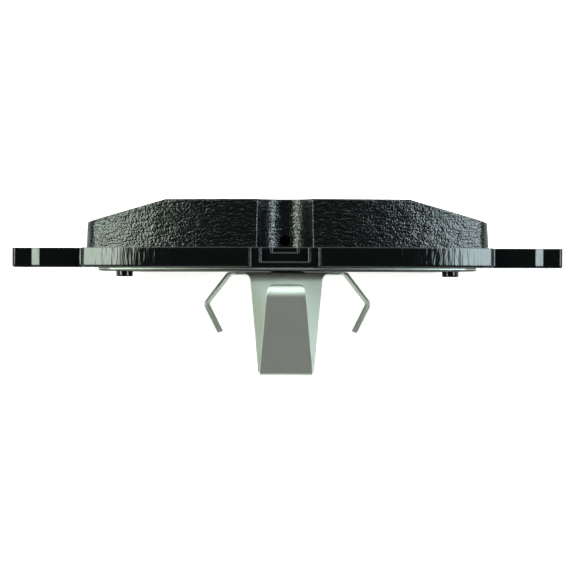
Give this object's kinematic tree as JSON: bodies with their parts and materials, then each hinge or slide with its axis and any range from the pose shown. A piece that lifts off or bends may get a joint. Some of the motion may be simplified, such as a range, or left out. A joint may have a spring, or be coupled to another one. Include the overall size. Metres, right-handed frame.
{
  "type": "disc brake pad",
  "caption": "Inner disc brake pad: chamfered friction block on an eared steel plate, with a shim and a sprung clip that grips the bore of a brake piston.",
  "frame": {"origin": "on the friction face, where the axis of the brake piston crosses it", "axes": "+X along the pad from ear to ear, +Y out of the friction face towards the disc, +Z away from the wheel axis, so the pad stands as it does when fitted"},
  "size_m": [0.1552, 0.0491, 0.0634],
  "materials": {
    "friction_paint": "glossy black paint over pebbled moulded friction material",
    "underlayer_paint": "glossy black paint over moulded underlayer",
    "bond_film": "cured adhesive",
    "plate_paint": "gloss black paint over stamped steel",
    "shim_rubber": "thin rubber coat",
    "shim_steel": "sheared steel sheet",
    "rivet_steel": "plain cold headed steel",
    "clip_steel": "rolled spring steel, fine lengthwise scratches"
  },
  "bodies": {
    "pad": {"friction_block": "friction_paint", "underlayer": "underlayer_paint", "bond_film": "bond_film", "backing_plate": "plate_paint", "shim_inner_rubber": "shim_rubber", "shim_steel_core": "shim_steel", "shim_outer_rubber": "shim_rubber", "clip_rivets": "rivet_steel", "clip_base": "clip_steel", "clip_tongue_leaf": "clip_steel"},
    "left_finger": {"clip_finger_left": "clip_steel"},
    "right_finger": {"clip_finger_right": "clip_steel"},
    "tongue": {"clip_tongue_return": "clip_steel"}
  },
  "joints": [
    {"name": "left_finger_flex", "type": "hinge", "parent": "pad", "child": "left_finger", "pos_m": [-0.01564, -0.0207, 0], "axis": [-0.0436, 0, 0.999], "range_deg": [0, 8], "stiffness_Nm_per_rad": 2},
    {"name": "right_finger_flex", "type": "hinge", "parent": "pad", "child": "right_finger", "pos_m": [0.01564, -0.0207, 0], "axis": [-0.0436, 0, -0.999], "range_deg": [0, 8], "stiffness_Nm_per_rad": 2},
    {"name": "tongue_flex", "type": "hinge", "parent": "pad", "child": "tongue", "pos_m": [-0.0003, -0.04756, 0.01644], "axis": [-1, 0, 0], "range_deg": [0, 6], "stiffness_Nm_per_rad": 3}
  ]
}
